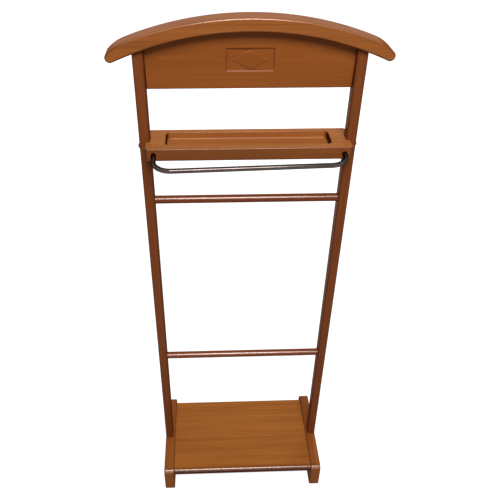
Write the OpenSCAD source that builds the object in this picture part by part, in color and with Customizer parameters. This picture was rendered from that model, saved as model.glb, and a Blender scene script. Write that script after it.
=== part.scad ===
// Clothes valet stand: a bowed shoulder rail and crest panel on two slim uprights, a pocket tray with a
// bent metal trouser bar, two round rails, and a shoe shelf between two deep runners.
// Millimetres, +Z up, front towards -Y. The origin is on the floor, midway between the runners.

/* [Overall] */
// Height from the floor to the crown of the shoulder rail
overall_h = 1072; // [1050:1:1120]
// Width across the outer faces of the uprights
outer_w = 370; // [350:1:400]
// Place of the uprights' centre plane, in front of (-) or behind (+) the middle of the runners
stand_y = -3; // [-8:1:8]

/* [Uprights] */
// Width of an upright, across the stand
upright_w = 18; // [16:0.5:20]
// Depth of an upright, front to back
upright_d = 22; // [21:0.5:26]
// Rounding of the uprights' long edges
upright_edge_r = 2.5; // [1:0.5:4]

/* [Shoulder rail] */
// Width over the tips of the shoulder rail
shoulder_w = 452; // [430:1:480]
// Depth of the shoulder rail, front to back
shoulder_d = 38; // [34:1:46]
// Thickness of the shoulder rail, top to underside
shoulder_t = 21.5; // [19:0.5:26]
// Radius of the rail's bow, along its top
shoulder_r = 560; // [500:5:700]
// Radius that rounds the rail's top down to each tip
tip_nose_r = 72; // [50:1:120]
// Radius of each tip's end, under the nose
tip_end_r = 8; // [7:0.25:9]
// Rounding of the shoulder rail's long edges
shoulder_edge_r = 3.5; // [2:0.5:6.5]

/* [Crest panel] */
// Height of the crest panel at its middle
crest_h = 93; // [80:1:105]
// Thickness of the crest panel
crest_t = 12; // [11:0.5:15]
// How far the crest panel's face lies behind the uprights' front faces
crest_setback = 9; // [4:0.5:10]
// Rounding of the crest panel's edges
crest_edge_r = 2; // [1:0.5:3]
// Width of the carved plaque
plaque_w = 78; // [60:1:110]
// Height of the carved plaque
plaque_h = 38; // [30:1:48]
// Depth of the pocket that the plaque is glued into
plaque_pocket = 5; // [4:0.5:6]
// How far the plaque's field lies below the crest panel's face
plaque_sink = 2; // [1:0.25:2.5]
// Width of the raised diamond
diamond_w = 62; // [40:1:70]
// Height of the raised diamond
diamond_h = 32; // [20:1:36]
// How far the diamond stands up from the field
diamond_rise = 1.4; // [0.5:0.1:2]
// Width of the diamond's bevelled border
diamond_bevel = 5; // [2:0.5:6]

/* [Tray] */
// Clear height between the tray's top and the crest panel
tray_clear = 88.5; // [60:0.5:160]
// Depth of the tray, front to back
tray_d = 78; // [74:1:100]
// Thickness of the tray board
tray_t = 22; // [21:0.5:28]
// How far each end of the tray laps the front of its upright
tray_lap = 8; // [4:0.5:10]
// Rounding of the tray's corners, seen from above
tray_corner_r = 6; // [3:0.5:12]
// Rounding of the tray's edges
tray_edge_r = 2; // [1:0.5:3.5]
// Rim in front of the tray's hollow
rim_front = 14.5; // [10:0.5:20]
// Rim behind the tray's hollow
rim_rear = 12; // [8:0.5:20]
// Rim at each end of the tray's hollow
rim_end = 34; // [32:1:60]
// Depth of the tray's hollow
hollow_depth = 13.5; // [6:0.5:14.5]
// Corner radius of the hollow, seen from above
hollow_corner_r = 9; // [6:0.5:14]
// Cove between the hollow's walls and its floor
hollow_cove_r = 4; // [2:0.5:5]

/* [Trouser bar] */
// Diameter of the bent rod
bar_dia = 8.5; // [6:0.5:10]
// How far the bar's front run stands out from the tray
bar_reach = 43; // [38:1:70]
// Distance of each leg from the upright's inner face
bar_inset = 7; // [6:0.5:14]
// Centreline radius of the two bends
bar_bend_r = 29; // [14:1:34]
// Depth of the legs in the tray, at the middle of the bar
bar_grip = 18; // [14:1:20]
// Slope of the bar, down towards the front
bar_droop = 4; // [0:0.5:6]
// Turn of the bar, seen from above: the left leg stands further out
bar_skew = 2.75; // [0:0.25:3]

/* [Rails] */
// Diameter of the two round rails
rail_dia = 15; // [12:0.5:18]
// Distance of the upper rail's axis below the tray
upper_rail_drop = 97.5; // [40:0.5:200]
// Height of the lower rail's axis above the floor
lower_rail_z = 347; // [300:1:420]
// Depth of the rails' sockets in the uprights
rail_socket = 9; // [6:0.5:12]

/* [Runners] */
// Length of a runner, front to back
runner_d = 224; // [200:1:260]
// Width of a runner
runner_w = 23; // [22:0.5:28]
// Height of the runners' tops above the floor
runner_top = 69; // [66:1:90]
// How far a runner stands proud of its upright's outer face
runner_proud = 0.6; // [0:0.1:1]
// Rounding of the runners' two upper corners, seen from the side
runner_nose_r = 13; // [3:0.5:20]
// Rounding of the runners' two lower corners, seen from the side
runner_toe_r = 5; // [3:0.5:10]
// Rounding of the runners' long edges
runner_edge_r = 2.5; // [1:0.5:4]

/* [Shoe shelf] */
// Thickness of the shelf board
shelf_t = 20; // [18:0.5:24]
// How far the shelf's top lies below the runners' tops
shelf_drop = 3; // [1:0.5:6]
// How far the shelf's front edge lies behind the runners' front ends
shelf_front = 4.5; // [3:0.5:12]
// How far the shelf's rear edge lies in front of the runners' rear ends
shelf_rear = 16; // [6:0.5:20]
// Step between the shelf's top and the half-round bead on its front edge
nosing_step = 1.25; // [0.5:0.25:2.5]

/* [Hardware] */
// Shank diameter of the tray and runner bolts
bolt_dia = 6; // [5:0.5:6]
// Head diameter of the domed tray bolts
dome_dia = 11; // [9:0.5:12]
// Height of the domed heads
dome_h = 3.5; // [2.5:0.5:4.5]
// Diameter of the barrel nuts
barrel_dia = 10; // [9:0.5:10]
// Length of the barrel nuts
barrel_len = 14; // [12:0.5:15]
// Outside diameter of the threaded inserts in the uprights' feet
insert_dia = 8.5; // [8:0.5:9]
// Length of the threaded inserts
insert_len = 18; // [14:1:22]
// Diameter of the runner bolts' heads
cap_dia = 10; // [9:0.5:11]
// Height of the runner bolts' heads
cap_h = 6; // [5:0.5:7]
// Depth of the counterbores under the runners
counterbore_depth = 34; // [24:1:40]
// Diameter of the thick dowels in the uprights' tops
thick_dowel_dia = 8; // [6:0.5:9]
// Diameter of the thin dowels
thin_dowel_dia = 6; // [5:0.5:7]
// Shank diameter of the shelf screws
screw_dia = 5; // [4:0.5:6]
// Head diameter of the shelf screws
screw_head_dia = 9; // [8:0.5:11]
// Length of the shelf screws
screw_len = 50; // [44:1:55]
// Diameter of the glides under the runners
glide_dia = 16; // [12:0.5:18]
// Thickness of the glides
glide_t = 1.5; // [1:0.5:4]

/* [Hidden] */

$fn = 64;
// Segments in a full turn of the shoulder rail's large arcs
arc_fn = 720;
// Overshoot of a cut beyond the face that it opens
cut = 1;
// Gap at a seat where two pieces meet face to face
seat_gap = 0.05;
// Radial gap round a dowel, rail end, bolt or nut in its hole
hole_gap = 0.1;
// Spare depth at the blind end of a hole
end_gap = 0.5;

// Uprights
upright_x = (outer_w - upright_w) / 2;
inner_x = outer_w / 2 - upright_w;
upright_front = stand_y - upright_d / 2;

// Shoulder rail: the bow's centre and its underside
bow_z = overall_h - shoulder_r;
bow_under_r = shoulder_r - shoulder_t;

// Right tip, seen from the front: a nose arc runs on from the bow's top, and an end arc leads from it to the
// bow's underside. Each arc's centre has a distance from the bow's centre, and an angle from straight up;
// meet_angle is the direction from the nose arc's centre to the end arc's centre.
end_away = bow_under_r + tip_end_r;
nose_away = shoulder_r - tip_nose_r;
end_angle = asin((shoulder_w / 2 - tip_end_r) / end_away);
nose_angle = end_angle - acos((pow(end_away, 2) + pow(nose_away, 2) - pow(tip_nose_r - tip_end_r, 2))
                              / (2 * end_away * nose_away));
meet_angle = atan2(end_away * sin(end_angle) - nose_away * sin(nose_angle),
                   end_away * cos(end_angle) - nose_away * cos(nose_angle));
// Lap of the nose arc's rim into the tip, as a share of the end arc's radius
lap_share = 0.5;
// Hair by which the tip's end is thinner all round, so that it lies inside the rest and doesn't just touch it
end_hair = 0.01;

// Crest panel
crest_front = upright_front + crest_setback;
crest_y = crest_front + crest_t / 2;
crest_bottom = bow_z + bow_under_r - crest_h;
plaque_z = crest_bottom + crest_h / 2;

// Tray, upper rail and trouser bar
tray_w = 2 * (inner_x + tray_lap);
tray_front = stand_y - tray_d / 2;
tray_top = crest_bottom - tray_clear;
tray_mid = tray_top - tray_t / 2;
upper_rail_z = tray_top - tray_t - upper_rail_drop;
hollow_w = tray_w - 2 * rim_end;
hollow_d = tray_d - rim_front - rim_rear;
hollow_y = stand_y + (rim_front - rim_rear) / 2;
bar_x = inner_x - bar_inset;
bar_r = bar_dia / 2;

// Runners and shelf
runner_out = outer_w / 2 + runner_proud;
runner_x = runner_out - runner_w / 2;
runner_in = runner_out - runner_w;
shelf_top = runner_top - shelf_drop;
shelf_mid = shelf_top - shelf_t / 2;
shelf_y0 = shelf_front - runner_d / 2;
shelf_y1 = runner_d / 2 - shelf_rear;

// Tray fastening: a bolt through the upright's middle into a barrel nut between upright and hollow
barrel_wall = 2.5;
barrel_x = tray_w / 2 - rim_end + barrel_wall + barrel_dia / 2;
barrel_tail = 5;
tray_bolt_len = outer_w / 2 - barrel_x + barrel_tail;

// Foot fastening: a bolt up through the runner into an insert, with a dowel behind it
foot_bolt_y = stand_y - 4.5;
foot_dowel_y = stand_y + 5.5;
foot_dowel_len = 30;
foot_bolt_grip = insert_len - 3;

// Dowels: their lengths, their shares in the piece above or beside, and their places
shoulder_dowel_len = 30;
shoulder_dowel_up = 11;
shoulder_dowel_z = bow_z + sqrt(pow(bow_under_r, 2) - pow(upright_x, 2)) + shoulder_dowel_up - shoulder_dowel_len;
crest_dowel_len = 28;
crest_dowel_in = 9;
crest_dowel_inset = 12;
// Wood between the shoulder dowel's hole and the crest dowel that passes under it
crest_dowel_web = 2.5;
crest_dowel_low = crest_bottom + crest_dowel_inset;
crest_dowel_high = shoulder_dowel_z - end_gap - crest_dowel_web - thin_dowel_dia / 2;
crest_top_x = outer_w / 5;
crest_top_len = 26;
crest_top_up = 10;
crest_top_z = bow_z + sqrt(pow(bow_under_r, 2) - pow(crest_top_x, 2)) + crest_top_up - crest_top_len;

// Shelf fastenings, as distances from the shelf's middle
shelf_y = (shelf_y0 + shelf_y1) / 2;
shelf_screw_y = 45;
shelf_dowel_y = 76;
shelf_dowel_len = 34;
shelf_dowel_in = 12;
countersink = (screw_head_dia - screw_dia) / 2;

// Glides
glide_y = runner_d / 2 - 22;
glide_stem_dia = 4;
glide_stem_len = 9;

beech = [0.60, 0.33, 0.14];
beech_dark = [0.50, 0.25, 0.10];
beech_light = [0.66, 0.39, 0.17];
pale_wood = [0.85, 0.72, 0.50];
dark_steel = [0.30, 0.27, 0.25];
zinc = [0.72, 0.72, 0.70];
brass = [0.78, 0.62, 0.30];
glide_grey = [0.25, 0.24, 0.23];

// ---------- shared shapes ----------

// Rectangle with round corners, centred
module rounded_outline(size, r) {
    square([size[0] - 2 * r, size[1]], center = true);
    square([size[0], size[1] - 2 * r], center = true);
    for (sx = [-1, 1], sy = [-1, 1])
        translate([sx * (size[0] / 2 - r), sy * (size[1] / 2 - r)]) circle(r);
}

// Board standing on z = 0 with its edges rounded to edge_r and its upright corners to corner_r
module eased_board(size, edge_r, corner_r) {
    intersection() {
        linear_extrude(size[2]) rounded_outline([size[0], size[1]], corner_r);
        translate([0, size[1] / 2, size[2] / 2]) rotate([90, 0, 0])
            linear_extrude(size[1]) rounded_outline([size[0], size[2]], edge_r);
        translate([-size[0] / 2, 0, size[2] / 2]) rotate([90, 0, 90])
            linear_extrude(size[0]) rounded_outline([size[1], size[2]], edge_r);
    }
}

// Round bar along X from x0 to x1
module rod_x(dia, x0, x1) {
    translate([x0, 0, 0]) rotate([0, 90, 0]) cylinder(h = x1 - x0, d = dia);
}

// Both sides of the stand: the child is drawn for the right side and mirrored to the left
module both_sides() {
    for (side = [0, 1]) mirror([side, 0, 0]) children();
}

// Everything that lies under the shoulder rail's bow, down to the floor
module under_bow(gap) {
    reach = bow_under_r - gap;
    translate([0, stand_y + shoulder_d, bow_z]) rotate([90, 0, 0]) {
        cylinder(h = 2 * shoulder_d, r = reach, $fn = arc_fn);
        translate([-reach, -bow_z, 0]) cube([2 * reach, bow_z, 2 * shoulder_d]);
    }
}

// ---------- dowels and hardware; grow widens and lengthens one into its own hole ----------

module shoulder_dowel(grow, spare) {
    translate([upright_x, stand_y, shoulder_dowel_z - spare])
        cylinder(h = shoulder_dowel_len + 2 * spare, d = thick_dowel_dia + 2 * grow);
}

module crest_side_dowel(grow, spare) {
    for (row_z = [crest_dowel_low, crest_dowel_high])
        translate([inner_x, crest_y, row_z])
            rod_x(thin_dowel_dia + 2 * grow, crest_dowel_in - crest_dowel_len - spare, crest_dowel_in + spare);
}

module crest_top_dowel(grow, spare) {
    translate([crest_top_x, crest_y, crest_top_z - spare])
        cylinder(h = crest_top_len + 2 * spare, d = thin_dowel_dia + 2 * grow);
}

module tray_bolt_shank(grow, spare) {
    translate([outer_w / 2, stand_y, tray_mid]) rod_x(bolt_dia + 2 * grow, -tray_bolt_len - spare, spare);
}

module barrel_blank(grow, spare) {
    translate([barrel_x, stand_y, tray_mid - barrel_len / 2 - spare])
        cylinder(h = barrel_len + spare + grow, d = barrel_dia + 2 * grow);
}

module foot_bolt_shank(grow, spare) {
    translate([upright_x, foot_bolt_y, counterbore_depth - spare])
        cylinder(h = runner_top + foot_bolt_grip - counterbore_depth + 2 * spare, d = bolt_dia + 2 * grow);
}

module insert_blank(grow, spare) {
    translate([upright_x, foot_bolt_y, runner_top + end_gap - spare])
        cylinder(h = insert_len + spare + grow, d = insert_dia + 2 * grow);
}

module foot_dowel(grow, spare) {
    translate([upright_x, foot_dowel_y, runner_top - foot_dowel_len / 2 - spare])
        cylinder(h = foot_dowel_len + 2 * spare, d = thin_dowel_dia + 2 * grow);
}

module shelf_dowel(grow, spare) {
    for (dy = [-shelf_dowel_y, shelf_dowel_y])
        translate([runner_in, shelf_y + dy, shelf_mid])
            rod_x(thin_dowel_dia + 2 * grow, shelf_dowel_in - shelf_dowel_len - spare, shelf_dowel_in + spare);
}

module shelf_screw(grow, spare) {
    for (dy = [-shelf_screw_y, shelf_screw_y])
        translate([runner_out, shelf_y + dy, shelf_mid]) {
            rod_x(screw_dia + 2 * grow, -screw_len - spare, -countersink / 2);
            translate([-countersink - grow, 0, 0]) rotate([0, 90, 0])
                cylinder(h = countersink + grow, d1 = screw_dia + 2 * grow, d2 = screw_head_dia + 2 * grow);
        }
}

module glide_stem(grow, spare) {
    for (dy = [-glide_y, glide_y])
        translate([runner_x, dy, glide_t - cut])
            cylinder(h = glide_stem_len + cut + spare, d = glide_stem_dia + 2 * grow);
}

// ---------- shoulder rail and crest ----------

// Ring about the bow's centre with eased edges, from the x axis round by an angle
module bow_ring(inner_r, outer_r, angle) {
    rotate_extrude(angle = angle, $fn = arc_fn)
        translate([(inner_r + outer_r) / 2, 0]) rounded_outline([outer_r - inner_r, shoulder_d], shoulder_edge_r);
}

// Half of the section of a disc as deep as the shoulder rail, with an eased rim
module disc_section(r, inset = 0) {
    intersection() {
        rounded_outline([2 * (r - inset), shoulder_d - 2 * inset], shoulder_edge_r - inset);
        translate([0, -shoulder_d]) square([r, 2 * shoulder_d]);
    }
}

// Right tip, turned so that it starts on the x axis, where the bow ends
module shoulder_tip() {
    turn = meet_angle - nose_angle;
    root = tip_nose_r - (1 + lap_share) * tip_end_r;
    // between the nose arc and the bow's underside
    intersection() {
        translate([nose_away, 0, 0]) rotate_extrude() disc_section(tip_nose_r);
        mirror([0, 1, 0]) bow_ring(bow_under_r, shoulder_r + shoulder_t, end_angle - nose_angle);
    }
    translate([nose_away, 0, 0]) {
        // rim of the nose arc, on to the end arc
        mirror([0, 1, 0]) rotate_extrude(angle = turn) difference() {
            disc_section(tip_nose_r);
            translate([0, -shoulder_d]) square([root, 2 * shoulder_d]);
        }
        // end arc
        rotate([0, 0, -turn]) translate([tip_nose_r - tip_end_r, 0, 0])
            rotate_extrude() disc_section(tip_end_r, end_hair);
    }
}

module shoulder_rail() {
    color(beech) difference() {
        translate([0, stand_y, bow_z]) rotate([90, 0, 0]) {
            rotate([0, 0, 90 - nose_angle]) bow_ring(bow_under_r, shoulder_r, 2 * nose_angle);
            both_sides() rotate([0, 0, 90 - nose_angle]) shoulder_tip();
        }
        both_sides() {
            shoulder_dowel(hole_gap, end_gap);
            crest_top_dowel(hole_gap, end_gap);
        }
    }
}

module crest_panel() {
    color(beech_light) difference() {
        intersection() {
            translate([0, crest_y, crest_bottom])
                eased_board([2 * (inner_x - seat_gap), crest_t, 2 * crest_h], crest_edge_r, crest_edge_r);
            under_bow(seat_gap);
        }
        translate([-plaque_w / 2 - seat_gap, crest_front - cut, plaque_z - plaque_h / 2 - seat_gap])
            cube([plaque_w + 2 * seat_gap, plaque_pocket + cut, plaque_h + 2 * seat_gap]);
        both_sides() {
            crest_side_dowel(hole_gap, end_gap);
            crest_top_dowel(hole_gap, end_gap);
        }
    }
}

// Diamond outline of the given width and height
module diamond_outline(w, h) {
    polygon([[-w / 2, 0], [0, -h / 2], [w / 2, 0], [0, h / 2]]);
}

// Plaque with a sunk field and a raised diamond, whose border slopes down to the field
module crest_plaque() {
    field_y = crest_front + plaque_sink;
    back_y = crest_front + plaque_pocket - seat_gap;
    shrink = 1 - 2 * diamond_bevel / diamond_w;
    color(beech_light) {
        translate([0, back_y, plaque_z]) rotate([90, 0, 0])
            linear_extrude(back_y - field_y) square([plaque_w, plaque_h], center = true);
        translate([0, field_y, plaque_z]) rotate([90, 0, 0])
            linear_extrude(diamond_rise, scale = shrink) diamond_outline(diamond_w, diamond_h);
    }
}

// ---------- uprights and rails ----------

module upright() {
    color(beech_dark) difference() {
        intersection() {
            translate([upright_x, stand_y, runner_top + seat_gap])
                linear_extrude(overall_h - runner_top) rounded_outline([upright_w, upright_d], upright_edge_r);
            under_bow(seat_gap);
        }
        shoulder_dowel(hole_gap, end_gap);
        crest_side_dowel(hole_gap, end_gap);
        translate([outer_w / 2, stand_y, tray_mid]) rod_x(bolt_dia + 2 * hole_gap, -upright_w - cut, cut);
        for (z = [upper_rail_z, lower_rail_z])
            translate([inner_x, stand_y, z]) rod_x(rail_dia + 2 * hole_gap, -cut, rail_socket);
        foot_bolt_shank(hole_gap, cut);
        insert_blank(hole_gap, cut);
        foot_dowel(hole_gap, end_gap);
    }
}

module upright_left() {
    mirror([1, 0, 0]) upright();
}

module upright_right() {
    upright();
}

module rail(z) {
    half = inner_x + rail_socket - end_gap;
    color(beech_dark) translate([0, stand_y, z]) rod_x(rail_dia, -half, half);
}

module upper_rail() {
    rail(upper_rail_z);
}

module lower_rail() {
    rail(lower_rail_z);
}

// ---------- tray and trouser bar ----------

// One corner of the tray's hollow: a post with a round foot
module hollow_post() {
    rotate_extrude($fn = 40) {
        translate([0, hollow_cove_r]) square([hollow_corner_r, hollow_depth - hollow_cove_r + cut]);
        square([hollow_corner_r - hollow_cove_r, hollow_cove_r + cut]);
        translate([hollow_corner_r - hollow_cove_r, hollow_cove_r]) intersection() {
            circle(hollow_cove_r, $fn = 24);
            translate([0, -hollow_cove_r]) square(hollow_cove_r);
        }
    }
}

module hollow() {
    translate([0, hollow_y, tray_top - hollow_depth]) hull()
        for (sx = [-1, 1], sy = [-1, 1])
            translate([sx * (hollow_w / 2 - hollow_corner_r), sy * (hollow_d / 2 - hollow_corner_r), 0])
                hollow_post();
}

// The bar's own axes: x across, legs along y, front run towards -y
module bar_axes() {
    translate([0, tray_front, tray_mid]) rotate([0, 0, bar_skew]) rotate([bar_droop, 0, 0]) children();
}

// One leg of the bar, with its bend
module bar_leg(dia) {
    translate([bar_x, bar_grip, 0]) rotate([90, 0, 0]) cylinder(h = bar_grip + bar_reach - bar_bend_r, d = dia);
}

module bar_bend() {
    translate([bar_x - bar_bend_r, bar_bend_r - bar_reach, 0]) rotate([0, 0, -90])
        rotate_extrude(angle = 90) translate([bar_bend_r, 0]) circle(bar_r);
}

module trouser_bar() {
    color(dark_steel) bar_axes() {
        both_sides() {
            bar_leg(bar_dia);
            bar_bend();
        }
        translate([0, -bar_reach, 0]) rod_x(bar_dia, bar_bend_r - bar_x, bar_x - bar_bend_r);
    }
}

// Holes in the tray that the bar's legs are pushed into
module bar_holes() {
    bar_axes() both_sides() translate([bar_x, bar_grip + end_gap, 0]) rotate([90, 0, 0])
        cylinder(h = bar_grip + bar_reach, d = bar_dia + 2 * hole_gap);
}

module tray() {
    notch_d = upright_d + 2 * seat_gap;
    color(beech) difference() {
        translate([0, stand_y, tray_top - tray_t])
            eased_board([tray_w, tray_d, tray_t], tray_edge_r, tray_corner_r);
        hollow();
        bar_holes();
        both_sides() {
            translate([inner_x - seat_gap, stand_y - notch_d / 2, tray_top - tray_t - cut])
                cube([2 * tray_lap, notch_d, tray_t + 2 * cut]);
            tray_bolt_shank(hole_gap, end_gap);
            barrel_blank(hole_gap, tray_t);
        }
    }
}

// Domed head on a plain shank
module tray_bolts() {
    dome_r = (pow(dome_dia / 2, 2) + pow(dome_h, 2)) / (2 * dome_h);
    color(zinc) both_sides() {
        tray_bolt_shank(0, seat_gap);
        translate([outer_w / 2 + seat_gap, stand_y, tray_mid]) rotate([0, 90, 0]) intersection() {
            translate([0, 0, dome_h - dome_r]) sphere(dome_r);
            cylinder(h = dome_h + cut, d = dome_dia + cut);
        }
    }
}

module barrel_nuts() {
    color(zinc) both_sides() difference() {
        barrel_blank(0, 0);
        tray_bolt_shank(seat_gap, barrel_dia);
    }
}

// ---------- runners, shelf and what holds them ----------

// Side outline of a runner, x along its length: round upper corners and smaller lower ones
module runner_outline() {
    h = runner_top - glide_t;
    translate([0, glide_t + h / 2]) intersection() {
        rounded_outline([runner_d, h], runner_toe_r);
        union() {
            rounded_outline([runner_d, h], runner_nose_r);
            translate([0, -h / 2]) square([runner_d, h], center = true);
        }
    }
}

module runner() {
    h = runner_top - glide_t;
    color(beech_dark) difference() {
        intersection() {
            translate([runner_in, 0, 0]) rotate([90, 0, 90]) linear_extrude(runner_w) runner_outline();
            translate([runner_x, 0, glide_t]) linear_extrude(h)
                rounded_outline([runner_w, runner_d], runner_edge_r);
            translate([runner_x, runner_d / 2, glide_t + h / 2]) rotate([90, 0, 0])
                linear_extrude(runner_d) rounded_outline([runner_w, h], runner_edge_r);
        }
        translate([upright_x, foot_bolt_y, glide_t - cut])
            cylinder(h = counterbore_depth - glide_t + cut, d = cap_dia + 2);
        foot_bolt_shank(hole_gap, cut);
        foot_dowel(hole_gap, end_gap);
        shelf_dowel(hole_gap, end_gap);
        shelf_screw(hole_gap, cut);
        glide_stem(hole_gap, end_gap);
    }
}

module runner_left() {
    mirror([1, 0, 0]) runner();
}

module runner_right() {
    runner();
}

// Section of the shelf, x from front to back, y up from its underside
module shelf_section() {
    depth = shelf_y1 - shelf_y0;
    bead_r = (shelf_t - nosing_step) / 2;
    ease_r = 2;
    difference() {
        union() {
            translate([bead_r, 0]) square([depth - bead_r, shelf_t]);
            translate([bead_r, bead_r]) circle(bead_r);
        }
        for (y = [0, shelf_t]) difference() {
            translate([depth - ease_r, y == 0 ? -cut : y - ease_r]) square(ease_r + cut);
            translate([depth - ease_r, abs(y - ease_r)]) circle(ease_r);
        }
    }
}

module shoe_shelf() {
    half = runner_in - seat_gap;
    color(beech_light) difference() {
        translate([-half, shelf_y0, shelf_top - shelf_t]) rotate([90, 0, 90])
            linear_extrude(2 * half) shelf_section();
        both_sides() {
            shelf_dowel(hole_gap, end_gap);
            shelf_screw(hole_gap, end_gap);
        }
    }
}

module runner_bolts() {
    color(zinc) both_sides() {
        foot_bolt_shank(0, seat_gap);
        translate([upright_x, foot_bolt_y, counterbore_depth - cap_h - seat_gap]) difference() {
            cylinder(h = cap_h, d = cap_dia);
            translate([0, 0, -cut]) cylinder(h = cut + cap_h / 2, d = bolt_dia, $fn = 6);
        }
    }
}

module upright_inserts() {
    color(brass) both_sides() difference() {
        insert_blank(0, 0);
        foot_bolt_shank(seat_gap, cut);
    }
}

module shoulder_dowels() {
    color(pale_wood) both_sides() shoulder_dowel(0, 0);
}

module crest_side_dowels() {
    color(pale_wood) both_sides() crest_side_dowel(0, 0);
}

module crest_top_dowels() {
    color(pale_wood) both_sides() crest_top_dowel(0, 0);
}

module upright_dowels() {
    color(pale_wood) both_sides() foot_dowel(0, 0);
}

module shelf_dowels() {
    color(pale_wood) both_sides() shelf_dowel(0, 0);
}

module shelf_screws() {
    color(zinc) both_sides() shelf_screw(0, 0);
}

module foot_glides() {
    color(glide_grey) both_sides() {
        glide_stem(0, 0);
        for (dy = [-glide_y, glide_y]) translate([runner_x, dy, 0]) cylinder(h = glide_t, d = glide_dia);
    }
}

shoulder_rail();
crest_panel();
crest_plaque();
upright_left();
upright_right();
tray();
trouser_bar();
upper_rail();
lower_rail();
shoe_shelf();
runner_left();
runner_right();
shoulder_dowels();
crest_side_dowels();
crest_top_dowels();
tray_bolts();
barrel_nuts();
runner_bolts();
upright_inserts();
upright_dowels();
shelf_screws();
shelf_dowels();
foot_glides();
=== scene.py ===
"""Looks of a clothes valet stand: stained beech boards and rails, a bronzed trouser bar, and the fixings."""
import math

import bmesh
import bpy
from mathutils import Matrix, Vector


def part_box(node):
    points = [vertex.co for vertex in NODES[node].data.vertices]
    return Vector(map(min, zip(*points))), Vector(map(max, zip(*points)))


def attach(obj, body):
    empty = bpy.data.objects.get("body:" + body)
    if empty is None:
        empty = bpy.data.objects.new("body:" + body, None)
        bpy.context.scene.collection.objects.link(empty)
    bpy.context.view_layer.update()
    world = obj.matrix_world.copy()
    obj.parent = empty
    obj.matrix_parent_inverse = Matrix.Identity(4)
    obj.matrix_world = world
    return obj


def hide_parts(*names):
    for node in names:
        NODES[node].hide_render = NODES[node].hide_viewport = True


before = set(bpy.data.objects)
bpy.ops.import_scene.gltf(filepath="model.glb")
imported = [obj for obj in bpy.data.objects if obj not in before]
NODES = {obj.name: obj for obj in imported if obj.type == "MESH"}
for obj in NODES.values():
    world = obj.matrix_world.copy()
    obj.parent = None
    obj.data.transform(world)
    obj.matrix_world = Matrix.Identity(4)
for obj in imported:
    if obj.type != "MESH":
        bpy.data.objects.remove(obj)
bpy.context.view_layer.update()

MM = 0.001

# Sizes that the boxes of the CAD nodes don't give
BOW_RADIUS = 560 * MM
RAIL_THICKNESS = 21.5 * MM
TIP_NOSE = 72 * MM
TIP_END = 8 * MM
SHOULDER_EASE = 3.5 * MM
CREST_EASE = 2 * MM
POST_EASE = 2.5 * MM
POST_CHAMFER = 0.4 * MM
PLAQUE_SINK = 2 * MM
PLAQUE_SLOPE = 2.6 * MM
DIAMOND_SIZE = (62 * MM, 32 * MM)
DIAMOND_RISE = 1.4 * MM
DIAMOND_BEVEL = 5 * MM
# Width of the darker lines, of staining and painted shade, round the plaque's field and diamond
STAIN_AND_SHADE_LINE = 0.8 * MM
TRAY_CORNER = 6 * MM
TRAY_EASE = 2 * MM
HOLLOW_END_RIM = 34 * MM
HOLLOW_FRONT_RIM = 14.5 * MM
HOLLOW_REAR_RIM = 12 * MM
HOLLOW_DEPTH = 13.5 * MM
HOLLOW_CORNER = 9 * MM
HOLLOW_COVE = 4 * MM
HOLLOW_LIP = 1 * MM
BAR_RADIUS = 4.25 * MM
BAR_BEND = 29 * MM
BAR_LEG_X = 160 * MM
BAR_REACH = 43 * MM
BAR_GRIP = 18 * MM
BAR_DROOP = math.radians(4)
BAR_SKEW = math.radians(2.75)
ROUND_RAIL_EASE = 0.8 * MM
RUNNER_NOSE = 13 * MM
RUNNER_TOE = 5 * MM
RUNNER_EASE = 2.5 * MM
BEAD_STEP = 1.25 * MM
SHELF_EASE = 2 * MM
SHELF_END_EASE = 0.3 * MM
NUT_RADIUS = 5 * MM
NUT_HOLE_DEPTH = 18 * MM
RUNNER_BOLT_HEAD = 5 * MM
COUNTERBORE_RADIUS = 6 * MM
COUNTERBORE_TOP = 34 * MM
COUNTERBORE_FLARE = 0.4 * MM
SCREW_HEAD = 4.5 * MM
SCREW_SINK = 2.1 * MM
SEAT_GAP = 0.05 * MM
HOLE_GAP = 0.1 * MM
SCRIBED_RADIUS = BOW_RADIUS - RAIL_THICKNESS - SEAT_GAP

# Signs of a rectangle's four corners, anticlockwise
CORNERS = ((1, 1), (-1, 1), (-1, -1), (1, -1))

# Faces that meet at a sharper angle than this keep a crisp edge
SHARP_ANGLE = math.radians(35)

# Features a metre, along the grain and across it
GROWTH_BANDS = (2.5, 90)
GROWTH_LINES = (5, 400)
FIBRES = (36, 1200)
STAIN_CLOUDS = (5, 17)
RAY_FLECKS = (280, 1500)
DOWEL_FIBRES = (50, 1200)
DRAWN_LINES = (20, 2600)
PATINA_CLOUDS = (30, 120)

# Features a metre, the same every way
PORES = 1300
HANDLING = 60
LACQUER_SKIN = 330
DOWEL_CLOUDS = 40
PATINA_SPOTS = 420
PLASTIC_GRAIN = 1500

# The lacquer is satin, but hands and clothes have polished it where an edge or a rail faces up and forward
LACQUER_GLOSS = 0.10
EDGE_GLOSS = 1.0
LACQUER_ROUGHNESS = 0.23
LACQUER_TINT = (1.0, 0.83, 0.77, 1.0)

# The world's light on the object, and the floor's glow to the camera, from near the stand to far from it
AMBIENT = 0.19
FLOOR_GLOW = 0.86
GLOW_NEAR = 0.6
GLOW_FAR = 3.0


# ---------- outlines: closed lists of (x, y, stain and painted shade, ease) ---

def arc(centre, radius, start, end, steps, edge=1.0, ease=1.0):
    """Points along an arc, angles in degrees. edge is how deep pooled staining and painted shade lie at its
    middle.
    """
    points = []
    for i in range(steps + 1):
        angle = math.radians(start + (end - start) * i / steps)
        x, y = centre[0] + radius * math.cos(angle), centre[1] + radius * math.sin(angle)
        points.append((x, y, edge * math.sin(math.pi * i / steps), ease))
    return points


def rounded_rect(width, depth, radius, steps=5, centre=(0, 0)):
    """Rectangle with round corners, anticlockwise."""
    points = []
    for turn, (sx, sy) in enumerate(CORNERS):
        corner = (centre[0] + sx * (width / 2 - radius), centre[1] + sy * (depth / 2 - radius))
        points += arc(corner, radius, 90 * turn, 90 * turn + 90, steps)
    return points


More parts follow.
